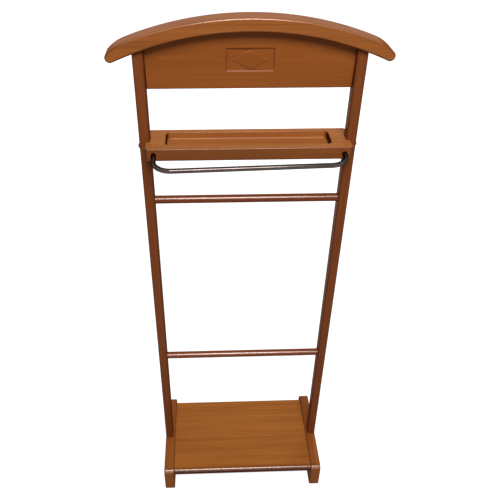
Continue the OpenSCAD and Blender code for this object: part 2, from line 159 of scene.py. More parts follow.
def inset(outline, distance):
    """The outline moved inward, by each point's own share of the distance."""
    moved = []
    for i, (x, y, stain_and_shade, ease) in enumerate(outline):
        before, after = outline[i - 1], outline[(i + 1) % len(outline)]
        a = Vector((x - before[0], y - before[1])).normalized()
        b = Vector((after[0] - x, after[1] - y)).normalized()
        out_a, out_b = Vector((a.y, -a.x)), Vector((b.y, -b.x))
        mitre = (out_a + out_b) / max(0.2, 1 + out_a.dot(out_b))
        moved.append((x - mitre.x * distance * ease, y - mitre.y * distance * ease, stain_and_shade, ease))
    return moved


# ---------- place functions: from an outline's (x, y) and a level to a point of the stand ----------

def rising_from(bottom):
    """For an outline of (x, y). The level runs up from bottom."""
    return lambda x, y, level: Vector((x, y, bottom + level))


def towards_front(back):
    """For an outline of (x, z). The level runs to the front from back."""
    return lambda x, z, level: Vector((x, back - level, z))


def towards_right(left):
    """For an outline of (y, z). The level runs to the right from left."""
    return lambda y, z, level: Vector((left + level, y, z))


def axes_at(origin, direction):
    """The level runs along direction from origin."""
    turn = Vector(direction).to_track_quat("Z", "Y").to_matrix()
    return lambda x, y, level: Vector(origin) + turn @ Vector((x, y, level))


# ---------- solids in mesh code ----------

def new_mesh():
    """An empty bmesh whose vertices carry how deep pooled staining and painted shade lie, from 0."""
    bm = bmesh.new()
    bm.verts.layers.float.new("stain_and_shade")
    return bm


def add_ring(bm, outline, level, place, rim_stain_and_shade=0.0):
    """One ring of vertices."""
    layer = bm.verts.layers.float["stain_and_shade"]
    ring = []
    for x, y, stain_and_shade, _ in outline:
        vertex = bm.verts.new(place(x, y, level))
        vertex[layer] = max(stain_and_shade, rim_stain_and_shade)
        ring.append(vertex)
    return ring


def bridge(bm, rings):
    """Faces between each ring and the next."""
    for low, high in zip(rings, rings[1:]):
        for i in range(len(low)):
            j = (i + 1) % len(low)
            bm.faces.new((low[i], low[j], high[j], high[i]))


def close_ends(bm, rings):
    """A face on the first ring and one on the last."""
    bm.faces.new(rings[0])
    bm.faces.new(rings[-1])


def cap_round(bm, outer, inner):
    """A flat face between an outer ring and an inner one."""
    edges = []
    for ring in (outer, inner):
        edges += [bm.edges.get((ring[i - 1], ring[i])) for i in range(len(ring))]
    bmesh.ops.triangle_fill(bm, edges=edges, use_dissolve=False, use_beauty=True)


def eased_prism(outline, depth, ease, place, hollow=(), steps=4):
    """The outline pulled through a depth, with its rims rounded and carrying pooled staining and painted
    shade, deepest at their middle. hollow is a pit in the far face: (outline, depth below that face, stain
    and shade) from its mouth to its floor."""
    bm = new_mesh()
    levels = []
    for k in range(steps + 1):
        t = math.radians(90 * k / steps)
        levels.append((ease * (1 - math.sin(t)), ease * (1 - math.cos(t)), math.sin(2 * t)))
    levels += [(move, depth - level, stain_and_shade) for move, level, stain_and_shade in reversed(levels)]
    rings = [add_ring(bm, inset(outline, move), level, place, stain_and_shade) for move, level, stain_and_shade in levels]
    bridge(bm, rings)
    bm.faces.new(rings[0])
    if hollow:
        pit = [add_ring(bm, points, depth - below, place, stain_and_shade) for points, below, stain_and_shade in hollow]
        bridge(bm, pit)
        bm.faces.new(pit[-1])
        cap_round(bm, rings[-1], pit[0])
    else:
        bm.faces.new(rings[-1])
    return bm


def lathe(profile, place, steps=40):
    """A profile of (radius, height) turned about its axis. It starts and ends on the axis."""
    bm = new_mesh()
    turns = [math.tau * i / steps for i in range(steps)]
    rings = []
    for radius, height in profile[1:-1]:
        circle = [(radius * math.cos(t), radius * math.sin(t), 0, 1) for t in turns]
        rings.append(add_ring(bm, circle, height, place))
    bridge(bm, rings)
    for ring, (_, height) in ((rings[0], profile[0]), (rings[-1], profile[-1])):
        tip = bm.verts.new(place(0, 0, height))
        for i in range(steps):
            bm.faces.new((ring[i - 1], ring[i], tip))
    return bm


def tube(path, radius, across, steps=32):
    """A round rod along a flat path, whose plane has the normal across. Its ends are chamfered."""
    bm = new_mesh()
    end_share = 0.85
    turns = [math.tau * k / steps for k in range(steps)]
    rings = []
    for i, point in enumerate(path):
        heading = (path[min(i + 1, len(path) - 1)] - path[max(i - 1, 0)]).normalized()
        side = heading.cross(across).normalized()
        size = radius * (end_share if i in (0, len(path) - 1) else 1)
        ring = [point + size * (side * math.cos(t) + across * math.sin(t)) for t in turns]
        rings.append([bm.verts.new(place) for place in ring])
    bridge(bm, rings)
    close_ends(bm, rings)
    return bm


def join(meshes):
    """Several bmeshes as one."""
    whole = new_mesh()
    for bm in meshes:
        mesh = bpy.data.meshes.new("part")
        bm.to_mesh(mesh)
        bm.free()
        whole.from_mesh(mesh)
        bpy.data.meshes.remove(mesh)
    return whole


def new_object(name, bm):
    """An object of the scene, made of a bmesh."""
    bmesh.ops.recalc_face_normals(bm, faces=bm.faces)
    mesh = bpy.data.meshes.new(name)
    bm.to_mesh(mesh)
    bm.free()
    obj = bpy.data.objects.new(name, mesh)
    bpy.context.scene.collection.objects.link(obj)
    return obj


def drill(obj, cutter_bm):
    """Cuts the cutter out of a mesh object for good."""
    cutter = new_object("cutter", cutter_bm)
    cut = obj.modifiers.new("Cut", "BOOLEAN")
    cut.operation = "DIFFERENCE"
    cut.object = cutter
    cut.solver = "EXACT"
    bpy.context.view_layer.update()
    drilled = bpy.data.meshes.new_from_object(obj.evaluated_get(bpy.context.evaluated_depsgraph_get()))
    obj.modifiers.remove(cut)
    whole, obj.data = obj.data, drilled
    bpy.data.meshes.remove(whole)
    bpy.data.meshes.remove(cutter.data)


def hole(mouth, inward, radius, depth, flare=0.0, sides=32):
    """Cutter for a round hole, or a socket with few sides, with a countersunk mouth."""
    out = 1 * MM
    rim = [(radius + flare, -out), (radius + flare, 0), (radius, flare)] if flare else [(radius, -out)]
    return lathe([(0, -out), *rim, (radius, depth), (0, depth)], axes_at(mouth, inward), sides)


def piece(name, bm, material, node, holes=()):
    """A finished piece: drilled, smooth where its faces meet softly, and riding in its node's place."""
    obj = new_object(name, bm)
    for cutter in holes:
        drill(obj, cutter)
    mesh = obj.data
    mesh.polygons.foreach_set("use_smooth", [True] * len(mesh.polygons))
    mesh.set_sharp_from_angle(angle=SHARP_ANGLE)
    mesh.materials.clear()
    mesh.materials.append(material)
    normals = obj.modifiers.new("Weighted normals", "WEIGHTED_NORMAL")
    normals.keep_sharp = True
    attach(obj, "root")
    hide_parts(node)


# ---------- materials ----------

class Nodes:
    """A node tree, with short calls for the nodes that this scene uses."""

    def __init__(self, owner):
        owner.use_nodes = True
        self.tree = owner.node_tree

    def node(self, kind, inputs=(), **settings):
        made = self.tree.nodes.new("ShaderNode" + kind)
        for key, value in settings.items():
            setattr(made, key, value)
        for key, value in dict(inputs).items():
            self.feed(made.inputs[key], value)
        return made

    def feed(self, socket, value):
        if isinstance(value, bpy.types.NodeSocket):
            self.tree.links.new(value, socket)
        else:
            socket.default_value = value

    def math(self, operation, a, b=0.0, c=0.0, clamp=False):
        return self.node("Math", {0: a, 1: b, 2: c}, operation=operation, use_clamp=clamp).outputs[0]

    def sum(self, start, *shares):
        """start plus each value times its share."""
        total = start
        for value, share in shares:
            total = self.math("MULTIPLY_ADD", value, share, total)
        return total

    def between(self, value, low, high, to_low=0.0, to_high=1.0):
        """value mapped smoothly from low..high to to_low..to_high."""
        made = self.node("MapRange", {"Value": value, "From Min": low, "From Max": high, "To Min": to_low,
                                      "To Max": to_high}, interpolation_type="SMOOTHSTEP")
        return made.outputs["Result"]

    def seen_directly(self):
        """1 for what the camera, a mirror or glass looks at, and 0 for light on a surface."""
        rays = self.node("LightPath").outputs
        reflected = self.math("MAXIMUM", rays["Is Glossy Ray"], rays["Is Transmission Ray"])
        return self.math("MAXIMUM", rays["Is Camera Ray"], reflected)


class Shader(Nodes):
    """A material's node tree, whose surface is one Principled BSDF."""

    def __init__(self, name):
        self.material = bpy.data.materials.new(name)
        super().__init__(self.material)
        self.surface = self.tree.nodes["Principled BSDF"]

    def set(self, **values):
        """Feeds the surface. An input's name has _ for each space."""
        for key, value in values.items():
            self.feed(self.surface.inputs[key.replace("_", " ")], value)

    def attribute(self, name):
        return self.node("Attribute", attribute_name=name).outputs["Fac"]

    def object_axes(self, output):
        """X, Y and Z of a texture coordinate output, "Object" for the place or "Normal" for the facing."""
        return self.node("SeparateXYZ", {0: self.node("TexCoord").outputs[output]}).outputs

    def stretched(self, scale, shift=(0, 0, 0)):
        """Object coordinates, scaled to features a metre, either per axis or the same every way."""
        scale = scale if isinstance(scale, tuple) else (scale, scale, scale)
        place = self.node("TexCoord").outputs["Object"]
        return self.node("Mapping", {"Vector": place, "Location": shift, "Scale": scale}).outputs["Vector"]

    def noise(self, vector, detail=2.0, roughness=0.5, distortion=0.0):
        made = self.node("TexNoise", {"Vector": vector, "Scale": 1.0, "Detail": detail,
                                      "Roughness": roughness, "Distortion": distortion})
        return made.outputs["Fac"]

    def mix(self, share, a, b, blend="MIX"):
        """Two colours mixed. The Mix node has its colour inputs at 6 and 7 and its colour output at 2."""
        made = self.node("Mix", data_type="RGBA", blend_type=blend)
        for socket, value in zip((made.inputs[0], made.inputs[6], made.inputs[7]), (share, a, b)):
            self.feed(socket, value)
        return made.outputs[2]

    def bump(self, height, strength, distance):
        made = self.node("Bump", {"Height": height, "Strength": strength, "Distance": distance})
        self.set(Normal=made.outputs["Normal"])


def rgb(red, green, blue):
    """A colour as it shows on screen, 0 to 255, as the linear colour that shaders take."""
    def linear(c):
        c /= 255
        return c / 12.92 if c <= 0.04045 else ((c + 0.055) / 1.055) ** 2.4
    return (linear(red), linear(green), linear(blue), 1.0)


def along(axis, along_value, across_value):
    """A vector with one value along the grain and another across it."""
    return tuple(along_value if i == "XYZ".index(axis) else across_value for i in range(3))


def deeper(colour, share):
    """A stained colour made deeper, which takes blue and green away before red, for deeper staining and for
    painted shade.
    """
    return tuple(c * share ** power for c, power in zip(colour[:3], (1.0, 1.25, 1.4))) + (1.0,)


def wood_figure(s, grain, shift):
    """Fibres, cloudy stain and ray flecks, and how dark they make a board together with its growth rings."""
    bands = s.noise(s.stretched(along(grain, *GROWTH_BANDS), shift), distortion=0.3)
    lines = s.noise(s.stretched(along(grain, *GROWTH_LINES), shift))
    fibre = s.noise(s.stretched(along(grain, *FIBRES), shift), detail=3, roughness=0.62)
    cloud = s.noise(s.stretched(along(grain, *STAIN_CLOUDS), shift))
    cells = s.node("TexVoronoi", {"Vector": s.stretched(along(grain, *RAY_FLECKS), shift), "Scale": 1.0})
    fleck = s.between(cells.outputs["Distance"], 0.12, 0.3, 1.0, 0.0)
    dark = s.sum(-0.75, (bands, 0.8), (lines, 0.8), (fibre, 0.5), (cloud, 0.4))
    return fibre, cloud, fleck, dark


def stain_and_painted_shade(s, stain_and_shade, lit_and_rubbed, shift):
    """How far pooled staining and painted shade hide the wood, in patches. Both stay off what faces up and
    forward to the light, but only 1 deep.
    """
    kept = s.math("SUBTRACT", stain_and_shade, lit_and_rubbed, clamp=True)
    kept = s.math("MAXIMUM", kept, s.math("SUBTRACT", stain_and_shade, 1.0))
    patchy = s.noise(s.stretched(HANDLING, shift), detail=3)
    return s.math("MULTIPLY", kept, s.between(patchy, 0.2, 0.7, 0.35, 0.55), clamp=True)


def lacquer_gloss(s, stain_and_shade, lit_and_rubbed, sideways, handled, edge_gloss):
    """Gloss of the lacquer: more on rails and edges that face up and forward, as if polished by hands, less
    at glancing angles and on side faces.
    """
    glancing = s.node("LayerWeight").outputs["Facing"]
    turned = s.between(glancing, 0.12, 0.5, 1.0, 0.19)
    silhouette = s.between(glancing, 0.72, 0.88, 1.0, 0.0)
    sides = s.between(s.math("ABSOLUTE", sideways), 0.6, 0.95, 1.0, 0.3)
    polish = s.sum(handled, (s.math("MINIMUM", stain_and_shade, 1.0), edge_gloss))
    gloss = s.sum(LACQUER_GLOSS, (polish, lit_and_rubbed))
    gloss = s.math("MULTIPLY", s.math("MULTIPLY", gloss, turned), sides)
    return s.math("MULTIPLY", gloss, silhouette, clamp=True)


def stained_beech(name, grain, seed, tone, spread=0.28, end_grain=0.6, end_from=0.7, front=None, handled=0.0,
                  edge_gloss=EDGE_GLOSS, worn=1.0):
    """Stained and lacquered beech, deeper in end grain, with pooled staining and painted shade on edges and
    in hollows, both kept off what faces up and forward to the light. spread is the figure's contrast,
    end_grain the end grain's share of the tone, and end_from the slope at which it begins. front is (y,
    share) for a front face that is darker by share.
    handled is the extra gloss all over, edge_gloss that of the edges, and worn is how far what faces up and
    forward is polished, as if by hands, and kept free of painted shade."""
    s = Shader(name)
    shift = (seed * 3.1, seed * 1.7, seed * 2.3)
    stain_and_shade = s.attribute("stain_and_shade")
    facing = s.object_axes("Normal")
    fibre, cloud, fleck, dark = wood_figure(s, grain, shift)
    # Faces turned up and forward, towards the front lamp: polished as if by hands, and kept free of the
    # painted shade
    up_forward = s.sum(0.0, (facing["Y"], -0.7), (facing["Z"], 0.7))
    lit_and_rubbed = s.between(up_forward, 0.91, 0.97, 0.0, worn)

    colour = s.mix(dark, deeper(tone, 1 + spread), deeper(tone, 1 - spread))
    colour = s.mix(s.math("MULTIPLY", fleck, 0.16), colour, deeper(tone, 0.55))
    pores = s.noise(s.stretched(PORES, shift), roughness=0.7)
    soaked = s.mix(pores, deeper(tone, end_grain * 0.8), deeper(tone, end_grain * 1.2))
    ends = s.between(s.math("ABSOLUTE", facing[grain]), end_from, 0.97)
    colour = s.mix(ends, colour, soaked)
    # The front face, in front of the y given, is made darker by share
    if front:
        face, share = front
        darker_front = s.mix(1.0, colour, deeper((1, 1, 1), share), "MULTIPLY")
        at_front = s.between(s.object_axes("Object")["Y"], face, face + 2 * MM, 1.0, 0.0)
        colour = s.mix(at_front, colour, darker_front)
    # Painted shade, mixed with pooled staining, darkens edges and hollows towards 0.2 of the tone
    colour = s.mix(stain_and_painted_shade(s, stain_and_shade, lit_and_rubbed, shift), colour, deeper(tone, 0.2))

    s.set(Base_Color=colour,
          Roughness=s.sum(LACQUER_ROUGHNESS, (cloud, 0.1), (fleck, 0.02), (lit_and_rubbed, -0.07)),
          Specular_IOR_Level=lacquer_gloss(s, stain_and_shade, lit_and_rubbed, facing["X"], handled, edge_gloss),
          Specular_Tint=LACQUER_TINT)
    skin = s.noise(s.stretched(LACQUER_SKIN, shift), detail=1)
    relief = s.sum(0.0, (fibre, 0.5), (skin, 0.3), (fleck, -0.2))
    s.bump(relief, s.between(lit_and_rubbed, 0.0, 1.0, 0.12, 0.01), 0.1 * MM)
    return s.material


def raw_beech(name, grain, seed):
    """Unstained dowel wood, with pressed flutes' dull fibres."""
    s = Shader(name)
    fibre = s.noise(s.stretched(along(grain, *DOWEL_FIBRES), (seed, seed, seed)), detail=3)
    cloud = s.noise(s.stretched(DOWEL_CLOUDS, (seed, 0, 0)))
    colour = s.mix(s.sum(0.0, (fibre, 0.5), (cloud, 0.5)), rgb(226, 190, 140), rgb(190, 146, 96))
    s.set(Base_Color=colour, Roughness=s.sum(0.55, (fibre, 0.2)))
    s.bump(fibre, 0.3, 0.2 * MM)
    return s.material


def metal(name, dark, light, grain, rough=0.28, drawn=0.06, patina=0.4, rim=(1.0, 1.0, 1.0, 1.0)):
    """Metal with fine drawing marks along its axis and a cloudy patina. rim tints its glancing gloss."""
    s = Shader(name)
    cloud = s.noise(s.stretched(along(grain, *PATINA_CLOUDS)), detail=4, roughness=0.6)
    colour = s.mix(s.between(cloud, 0.3, 0.7), dark, light)
    roughness = rough - drawn
    if patina:
        spots = s.between(s.noise(s.stretched(PATINA_SPOTS), detail=3), 0.62, 0.78)
        colour = s.mix(s.math("MULTIPLY", spots, patina), colour, dark)
        roughness = s.sum(roughness, (spots, patina * 0.4))
    if drawn:
        lines = s.noise(s.stretched(along(grain, *DRAWN_LINES)), roughness=0.6)
        roughness = s.sum(roughness, (lines, drawn * 2))
        s.bump(lines, 0.05, 0.05 * MM)
    s.set(Base_Color=colour, Roughness=roughness, Metallic=1.0, Specular_Tint=rim)
    return s.material


def plastic(name, colour):
    """Moulded plastic with a fine grain and scuffs from the floor."""
    s = Shader(name)
    scuff = s.between(s.noise(s.stretched((260, 90, 260)), detail=4, roughness=0.7), 0.55, 0.75)
    s.set(Base_Color=s.mix(s.math("MULTIPLY", scuff, 0.4), colour, rgb(120, 112, 102)),
          Roughness=s.sum(0.5, (scuff, 0.2)))
    s.bump(s.noise(s.stretched(PLASTIC_GRAIN)), 0.15, 0.2 * MM)
    return s.material


# ---------- boards and rails ----------

def wooden(name, bm, node, grain, seed, tone, slot="stained_beech", holes=(), **looks):
    """A wooden piece that stands for one CAD node, with a board's own grain."""
    material = stained_beech(name + "_beech", grain, seed, rgb(*tone), **looks)
    piece(name, bm, material, node, holes=holes)


def bow_centre():
    """Height of the centre of the shoulder rail's bow."""
    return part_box("shoulder_rail")[1].z - BOW_RADIUS


def bow_underside(x):
    """Height at x of what is scribed to the shoulder rail's underside."""
    return bow_centre() + math.sqrt(SCRIBED_RADIUS ** 2 - x ** 2)


def shoulder_rail():
    """Bowed board. A nose arc rounds its top down to each tip, and an end arc leads back to its underside."""
    low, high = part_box("shoulder_rail")
    under = BOW_RADIUS - RAIL_THICKNESS
    end_away, nose_away = under + TIP_END, BOW_RADIUS - TIP_NOSE
    end = math.asin((high.x - TIP_END) / end_away)
    gap = TIP_NOSE - TIP_END
    nose = end - math.acos((end_away ** 2 + nose_away ** 2 - gap ** 2) / (2 * end_away * nose_away))
    end_centre = Vector((math.sin(end), math.cos(end))) * end_away
    nose_centre = Vector((math.sin(nose), math.cos(nose))) * nose_away
    meet = math.degrees(math.atan2(end_centre.x - nose_centre.x, end_centre.y - nose_centre.y))
    end, nose = math.degrees(end), math.degrees(nose)
    right = arc(end_centre, TIP_END, -90 - end, 90 - meet, 20, edge=0)[1:]
    right += arc(nose_centre, TIP_NOSE, 90 - meet, 90 - nose, 14, edge=0)[1:]
    left = [(-x, z, stain_and_shade, ease) for x, z, stain_and_shade, ease in reversed(right)]
    outline = right + arc((0, 0), BOW_RADIUS, 90 - nose, 90 + nose, 120, edge=0)[1:] + left[1:]
    outline += arc((0, 0), under, 90 + end, 90 - end, 120, edge=0)
    outline = [(x, z + bow_centre(), stain_and_shade, ease) for x, z, stain_and_shade, ease in outline]
    bm = eased_prism(outline, high.y - low.y, SHOULDER_EASE, towards_front(high.y), steps=6)
    wooden("bowed_shoulder_board", bm, "shoulder_rail", grain="X", seed=1.3, tone=(153, 89, 41))


def crest_panel():
    """Board whose top is scribed to the bow, with a pocket for the plaque."""
    low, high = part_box("crest_panel")
    plaque_low, plaque_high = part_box("crest_plaque")
    half = math.degrees(math.asin(high.x / SCRIBED_RADIUS))
    outline = arc((low.x + CREST_EASE, low.z + CREST_EASE), CREST_EASE, 180, 270, 4)
    outline += arc((high.x - CREST_EASE, low.z + CREST_EASE), CREST_EASE, 270, 360, 4)
    outline += arc((0, bow_centre()), SCRIBED_RADIUS, 90 - half, 90 + half, 72, edge=0, ease=0.0)
    pocket = [(x, z, 0, 1) for x, z in ((plaque_low.x, plaque_low.z), (plaque_high.x, plaque_low.z),
                                        (plaque_high.x, plaque_high.z), (plaque_low.x, plaque_high.z))]
    pit = [(pocket, 0, 0), (pocket, plaque_high.y - low.y, 0)]
    bm = eased_prism(outline, high.y - low.y, CREST_EASE, towards_front(high.y), hollow=pit)
    wooden("crest_board", bm, "crest_panel", grain="X", seed=2.4, tone=(146, 80, 32), spread=0.2)


def crest_plaque():
    """Block whose border slopes down to a sunk field, with a diamond whose border slopes up to its table."""
    low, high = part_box("crest_plaque")
    width, height = high.x - low.x, high.z - low.z
    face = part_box("crest_panel")[0].y
    field = face + PLAQUE_SINK
    line = STAIN_AND_SHADE_LINE / (DIAMOND_SIZE[0] / 2)
    table = 1 - DIAMOND_BEVEL / (DIAMOND_SIZE[0] / 2)

    def frame_ring(shrink, sides=0.0, sill=0.0):
        """Ring along the border. Its two sides and its lower edge are darkened by staining in the cut and by
        painted shade in the groove. Its top has none.
        """
        w, h = width / 2 - shrink, height / 2 - shrink
        corner = 0.35 * sides
        return [(-w, -h, sill, 1), (0, -h, sill, 1), (w, -h, sill, 1), (w, 0, sides, 1),
                (w, h, corner, 1), (0, h, 0.0, 1), (-w, h, corner, 1), (-w, 0, sides, 1)]

    def diamond_ring(scale, stain_and_shade=0.0):
        """Ring along the diamond, with points between its corners to match frame_ring's."""
        w, h = DIAMOND_SIZE[0] / 2 * scale, DIAMOND_SIZE[1] / 2 * scale
        return [(x, z, stain_and_shade, 1) for x, z in ((-w / 2, -h / 2), (0, -h), (w / 2, -h / 2), (w, 0),
                                              (w / 2, h / 2), (0, h), (-w / 2, h / 2), (-w, 0))]

    def place(x, z, y):
        return Vector((x, y, z + (low.z + high.z) / 2))

    rim = face + SEAT_GAP
    steps = [(frame_ring(0), high.y),
             (frame_ring(0, sides=1, sill=0.1), rim),
             (frame_ring(PLAQUE_SLOPE - STAIN_AND_SHADE_LINE, sides=0.3, sill=0.3), rim + 0.7 * PLAQUE_SINK),
             (frame_ring(PLAQUE_SLOPE, sides=0.8), field),
             (frame_ring(PLAQUE_SLOPE + STAIN_AND_SHADE_LINE), field),
             (diamond_ring(1 + line), field),
             (diamond_ring(1, stain_and_shade=0.05), field),
             (diamond_ring(1 - line), field - line / (1 - table) * DIAMOND_RISE),
             (diamond_ring(table), field - DIAMOND_RISE)]
    bm = new_mesh()
    rings = [add_ring(bm, points, y, place) for points, y in steps]
    bridge(bm, rings)
    close_ends(bm, rings)
    wooden("carved_plaque", bm, "crest_plaque", grain="X", seed=5.2, tone=(146, 80, 32),
           slot="carved_beech", spread=0.2, end_grain=0.5, worn=0.0)


def post(side, seed):
    """An upright, whose top is scribed to the shoulder rail's underside."""
    node = "upright_" + side
    low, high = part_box(node)
    centre = ((low.x + high.x) / 2, (low.y + high.y) / 2)
    section = rounded_rect(high.x - low.x, high.y - low.y, POST_EASE, centre=centre)
    upward = rising_from(low.z)
    bm = new_mesh()
    rings = [add_ring(bm, inset(section, POST_CHAMFER), 0, upward),
             add_ring(bm, section, POST_CHAMFER, upward),
             add_ring(bm, section, 0, lambda x, y, level: Vector((x, y, bow_underside(x) + level)))]
    bridge(bm, rings)
    close_ends(bm, rings)
    wooden(side + "_post", bm, node, grain="Z", seed=seed, tone=(124, 64, 28))


def tray_outline(low, high):
    """The tray from above, anticlockwise, with a notch round each upright."""
    post_low, post_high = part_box("upright_right")
    notch_x = post_low.x - SEAT_GAP
    notch_y = (post_low.y - SEAT_GAP, post_high.y + SEAT_GAP)
    middle = (low.y + high.y) / 2
    outline = []
    for turn, (sx, sy) in enumerate(CORNERS):
        corner = (sx * (high.x - TRAY_CORNER), middle + sy * ((high.y - low.y) / 2 - TRAY_CORNER))
        outline += arc(corner, TRAY_CORNER, 90 * turn, 90 * turn + 90, 6)
        if sx != sy:
            end_x = high.x if sx == 1 else low.x
            start, end = notch_y[::sx]
            outline += [(x, y, 0, ease) for x, y, ease in ((end_x, start, 1), (sx * notch_x, start, 0),
                                                           (sx * notch_x, end, 0), (end_x, end, 1))]
    return outline


def tray_hollow(low, high):
    """The tray's pit: a rounded lip, an upright wall and a cove along the floor."""
    width = high.x - low.x - 2 * HOLLOW_END_RIM
    depth = high.y - low.y - HOLLOW_FRONT_RIM - HOLLOW_REAR_RIM
    centre = (0, (low.y + high.y) / 2 + (HOLLOW_FRONT_RIM - HOLLOW_REAR_RIM) / 2)
    wall = HOLLOW_DEPTH - HOLLOW_COVE
    cove_stain_and_shade = 0.2

    def ring(grow):
        points = rounded_rect(width + 2 * grow, depth + 2 * grow, HOLLOW_CORNER + grow, 8, centre)
        return [(x, y, 0, 1) for x, y, _, _ in points]

    # The lip and the cove are darkened by pooled staining, and by painted shade where they don't face up and
    # forward
    turns = [math.radians(15 * k) for k in range(7)]
    pit = []
    for t in turns:
        pit.append((ring(HOLLOW_LIP * (1 - math.sin(t))), HOLLOW_LIP * (1 - math.cos(t)), math.sin(2 * t)))
    for t in turns:
        stain_and_shade = cove_stain_and_shade * math.sin(2 * t)
        pit.append((ring(-HOLLOW_COVE * (1 - math.cos(t))), wall + HOLLOW_COVE * math.sin(t), stain_and_shade))
    return pit


def tray():
    """Board with a hollow for keys and coins, drilled for the trouser bar and the barrel nuts."""
    low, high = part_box("tray")
    bm = eased_prism(tray_outline(low, high), high.z - low.z, TRAY_EASE, rising_from(low.z),
                     hollow=tray_hollow(low, high))
    drilled = [bar_hole(side) for side in (-1, 1)]
    for nut in nut_places():
        drilled.append(hole((nut.x, nut.y, low.z), (0, 0, 1), NUT_RADIUS + HOLE_GAP, NUT_HOLE_DEPTH))
    # end_grain 0.2 from a slope of 0.3 darkens the end grain deeply: staining, and painted shade on the
    # hollow's end walls
    wooden("pocket_tray", bm, "tray", grain="X", seed=6.7, tone=(166, 101, 50), holes=drilled,
           end_grain=0.2, end_from=0.3, front=(low.y + 0.5 * MM, 0.57), edge_gloss=0.4)


def nut_places():
    """Centres of the two barrel nuts' lower faces."""
    low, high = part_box("barrel_nuts")
    return [Vector((x, (low.y + high.y) / 2, low.z)) for x in (low.x + NUT_RADIUS, high.x - NUT_RADIUS)]


def round_rail(node, seed):
    """A turned rail with eased ends, cut at its thirds so that its faces stay short."""
    low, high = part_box(node)
    radius = (high.z - low.z) / 2
    length = high.x - low.x
    start = Vector((low.x, (low.y + high.y) / 2, (low.z + high.z) / 2))
    profile = [(0, 0), (radius - ROUND_RAIL_EASE, 0), (radius, ROUND_RAIL_EASE),
               (radius, length / 3), (radius, 2 * length / 3),
               (radius, length - ROUND_RAIL_EASE), (radius - ROUND_RAIL_EASE, length), (0, length)]
    bm = lathe(profile, axes_at(start, (1, 0, 0)), 48)
    wooden(node.replace("_rail", "_dowel_rail"), bm, node, grain="X", seed=seed, tone=(125, 64, 36),
           handled=1.0)


def shoe_shelf():
    """Board with a half-round bead along its front, darkened all along by painted shade, deepest at its
    front, which stays even where the bead faces the light.
    """
    low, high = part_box("shoe_shelf")
    bead = (high.z - low.z - BEAD_STEP) / 2
    # edge=3.8 paints shade along the bead, too deep for its light-facing part to lift
    outline = arc((low.y + bead, low.z + bead), bead, 90, 270, 20, edge=3.8)
    outline += arc((high.y - SHELF_EASE, low.z + SHELF_EASE), SHELF_EASE, 270, 360, 4)
    outline += arc((high.y - SHELF_EASE, high.z - SHELF_EASE), SHELF_EASE, 0, 90, 4)
    outline += [(low.y + bead, high.z, 0, 1)]
    bm = eased_prism(outline, high.x - low.x, SHELF_END_EASE, towards_right(low.x), steps=2)
    wooden("shelf_board", bm, "shoe_shelf", grain="X", seed=7.9, tone=(162, 96, 40), edge_gloss=0.7)


def screw_places():
    """Mouths of the four shelf screws, in the runners' outer faces."""
    low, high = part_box("shelf_screws")
    rows = (low.y + SCREW_HEAD, high.y - SCREW_HEAD)
    return [Vector((x, y, (low.z + high.z) / 2)) for x in (low.x, high.x) for y in rows]


def runner(side, seed):
    """Foot board, bored from below for the upright's bolt and from outside for the shelf screws."""
    node = "runner_" + side
    low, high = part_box(node)
    outline = arc((low.y + RUNNER_TOE, low.z + RUNNER_TOE), RUNNER_TOE, 180, 270, 6)
    outline += arc((high.y - RUNNER_TOE, low.z + RUNNER_TOE), RUNNER_TOE, 270, 360, 6)
    outline += arc((high.y - RUNNER_NOSE, high.z - RUNNER_NOSE), RUNNER_NOSE, 0, 90, 12)
    outline += arc((low.y + RUNNER_NOSE, high.z - RUNNER_NOSE), RUNNER_NOSE, 90, 180, 12)
    bm = eased_prism(outline, high.x - low.x, RUNNER_EASE, towards_right(low.x), steps=5)
    sign = -1 if side == "left" else 1
    bolt_low, bolt_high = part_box("runner_bolts")
    bolt = Vector((sign * (bolt_high.x - RUNNER_BOLT_HEAD), (bolt_low.y + bolt_high.y) / 2, low.z))
    drilled = [hole(bolt, (0, 0, 1), COUNTERBORE_RADIUS, COUNTERBORE_TOP - low.z, flare=COUNTERBORE_FLARE)]
    for mouth in screw_places():
        if mouth.x * sign > 0:
            drilled.append(hole(mouth, (-sign, 0, 0), SCREW_HEAD + HOLE_GAP, SCREW_SINK))
    wooden(side + "_foot_runner", bm, node, grain="Y", seed=seed, tone=(150, 84, 38), holes=drilled,
           end_grain=1.0)


# ---------- trouser bar ----------

def bar_place(x, y, z):
    """A point in the bar's own axes, legs along y and front run towards -y, as a point of the stand."""
    low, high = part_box("tray")
    turn = Matrix.Rotation(BAR_SKEW, 3, "Z") @ Matrix.Rotation(BAR_DROOP, 3, "X")
    return Vector((0, low.y, (low.z + high.z) / 2)) + turn @ Vector((x, y, z))


def bar_hole(side):
    """Cutter in the tray for the bar's leg on the side -1 or 1. It starts a little in front of the face."""
    before, behind = 2 * MM, 1 * MM
    mouth = bar_place(side * BAR_LEG_X, 0, 0)
    inward = bar_place(side * BAR_LEG_X, 1, 0) - mouth
    return hole(mouth - inward * before, inward, BAR_RADIUS + HOLE_GAP, before + BAR_GRIP + behind)


